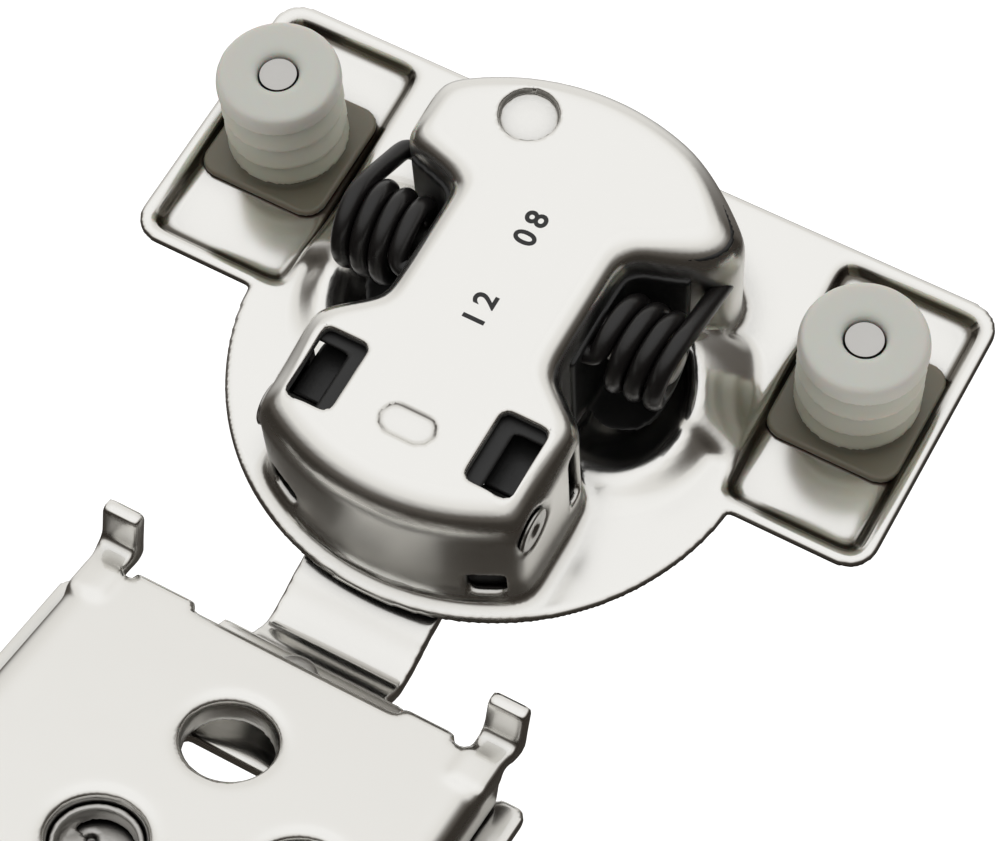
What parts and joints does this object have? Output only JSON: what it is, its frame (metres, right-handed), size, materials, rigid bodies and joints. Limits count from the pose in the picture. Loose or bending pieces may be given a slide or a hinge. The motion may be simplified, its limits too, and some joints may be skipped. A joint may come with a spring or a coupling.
{
  "type": "concealed cup hinge",
  "caption": "Concealed cup hinge for an overlay door on a face frame, with side torsion springs, a soft-close damper and an adjustable bracket.",
  "frame": {"origin": "cup centre on the door's back face", "axes": "+Z into the door, +Y from the knuckle towards the dowels, X along the hinge axis"},
  "size_m": [0.0576, 0.0804, 0.0185],
  "materials": {
    "nickel": "bright nickel plate on pressed steel",
    "zinc": "plain plated steel",
    "spring_steel": "black oiled spring wire",
    "nylon": "milky natural nylon",
    "black_plastic": "moulded black plastic"
  },
  "bodies": {
    "cup": {"cup_pressing": "nickel", "dowel_left": "nylon", "dowel_right": "nylon", "dowel_screws": "zinc", "knuckle_pin": "zinc", "spring_pin": "zinc", "spring_left": "spring_steel", "spring_right": "spring_steel", "damper_housing": "black_plastic", "spacer_left": "black_plastic", "spacer_right": "black_plastic"},
    "arm": {"hinge_arm": "nickel", "arm_rivet": "zinc", "rivet_washer": "zinc"},
    "slide": {"slide_plate": "nickel"},
    "bracket": {"frame_bracket": "nickel"},
    "cam": {"depth_cam": "zinc"},
    "lever": {"spring_lever": "black_plastic", "roller_pin": "zinc"},
    "roller": {"lever_roller": "zinc"},
    "plunger": {"damper_plunger": "black_plastic"}
  },
  "joints": [
    {"name": "door_swing", "type": "hinge", "parent": "cup", "child": "arm", "pos_m": [0, -0.0127, 0.0076], "axis": [1, 0, 0], "range_deg": [0, 107.05]},
    {"name": "height_adjust", "type": "slide", "parent": "arm", "child": "slide", "axis": [1, 0, 0], "range_m": [-0.0015, 0.0015]},
    {"name": "depth_adjust", "type": "slide", "parent": "slide", "child": "bracket", "axis": [0, -0.956, 0.2932], "range_m": [-0.00106, 0.00106]},
    {"name": "cam_turn", "type": "hinge", "parent": "bracket", "child": "cam", "pos_m": [-0.0029, -0.04464, 0.00852], "axis": [0, 0.2932, 0.956], "range_deg": [-45.5, 45.5]},
    {"name": "lever_swing", "type": "hinge", "parent": "cup", "child": "lever", "pos_m": [0, 0.0026, 0.0067], "axis": [1, 0, 0], "range_deg": [0, 20.5]},
    {"name": "roller_spin", "type": "hinge", "parent": "lever", "child": "roller", "pos_m": [0, -0.00022, 0.0048], "axis": [1, 0, 0], "continuous": true},
    {"name": "plunger_travel", "type": "slide", "parent": "cup", "child": "plunger", "axis": [0, 1, 0], "range_m": [0, 0.00225]}
  ],
  "couplings": [
    {"joint": "lever_swing", "follows": "door_swing", "ratio": 0.18683},
    {"joint": "plunger_travel", "follows": "door_swing", "m_per_rad": 0.0011775},
    {"joint": "cam_turn", "follows": "depth_adjust", "rad_per_m": 740.48}
  ]
}
